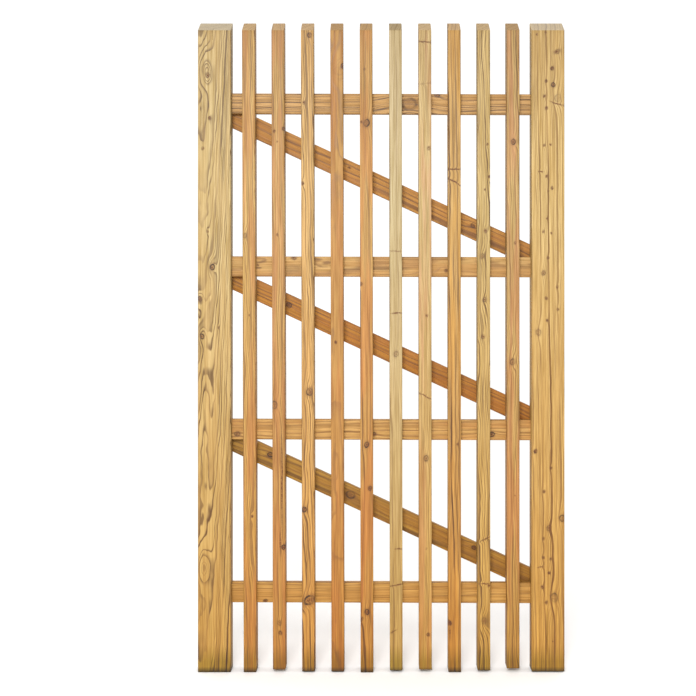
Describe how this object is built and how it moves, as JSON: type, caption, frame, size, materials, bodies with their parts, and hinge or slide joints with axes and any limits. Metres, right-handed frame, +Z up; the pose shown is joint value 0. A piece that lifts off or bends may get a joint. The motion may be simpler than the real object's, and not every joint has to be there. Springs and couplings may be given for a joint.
{
  "type": "garden gate",
  "caption": "Upright softwood garden gate leaf: wide stiles, narrow spaced pickets with sloping tops, rails let into their backs, and a falling diagonal brace in each bay.",
  "frame": {"origin": "under the middle of the leaf, half way between its front plane and the backs of its braces, level with its lowest picket end", "axes": "+Z up the pickets; +X across the leaf towards the hinge stile; -Y is the front, where no rail or screw stands proud, and +Y the back with the braces"},
  "size_m": [1, 0.065, 1.78],
  "materials": {
    "stile_wood": "planed softwood, pale golden tan with fine pin knots, untreated and matt",
    "picket_wood": "planed softwood, each picket from a different board, from pale yellow to salmon and orange brown",
    "rail_wood": "planed softwood, straight grained, matt",
    "brace_wood": "planed softwood, a little darker and browner than the rails",
    "screw_steel": "stainless steel, countersunk heads with a six-lobed drive"
  },
  "bodies": {
    "root": {"bottom_brace": "brace_wood", "bottom_brace_screws": "screw_steel", "bottom_rail": "rail_wood", "bottom_rail_screws": "screw_steel", "hinge_stile": "stile_wood", "latch_stile": "stile_wood", "lower_rail": "rail_wood", "lower_rail_screws": "screw_steel", "middle_brace": "brace_wood", "middle_brace_screws": "screw_steel", "picket_01": "picket_wood", "picket_02": "picket_wood", "picket_03": "picket_wood", "picket_04": "picket_wood", "picket_05": "picket_wood", "picket_06": "picket_wood", "picket_07": "picket_wood", "picket_08": "picket_wood", "picket_09": "picket_wood", "picket_10": "picket_wood", "top_brace": "brace_wood", "top_brace_screws": "screw_steel", "top_rail": "rail_wood", "top_rail_screws": "screw_steel", "upper_rail": "rail_wood", "upper_rail_screws": "screw_steel"}
  },
  "joints": []
}
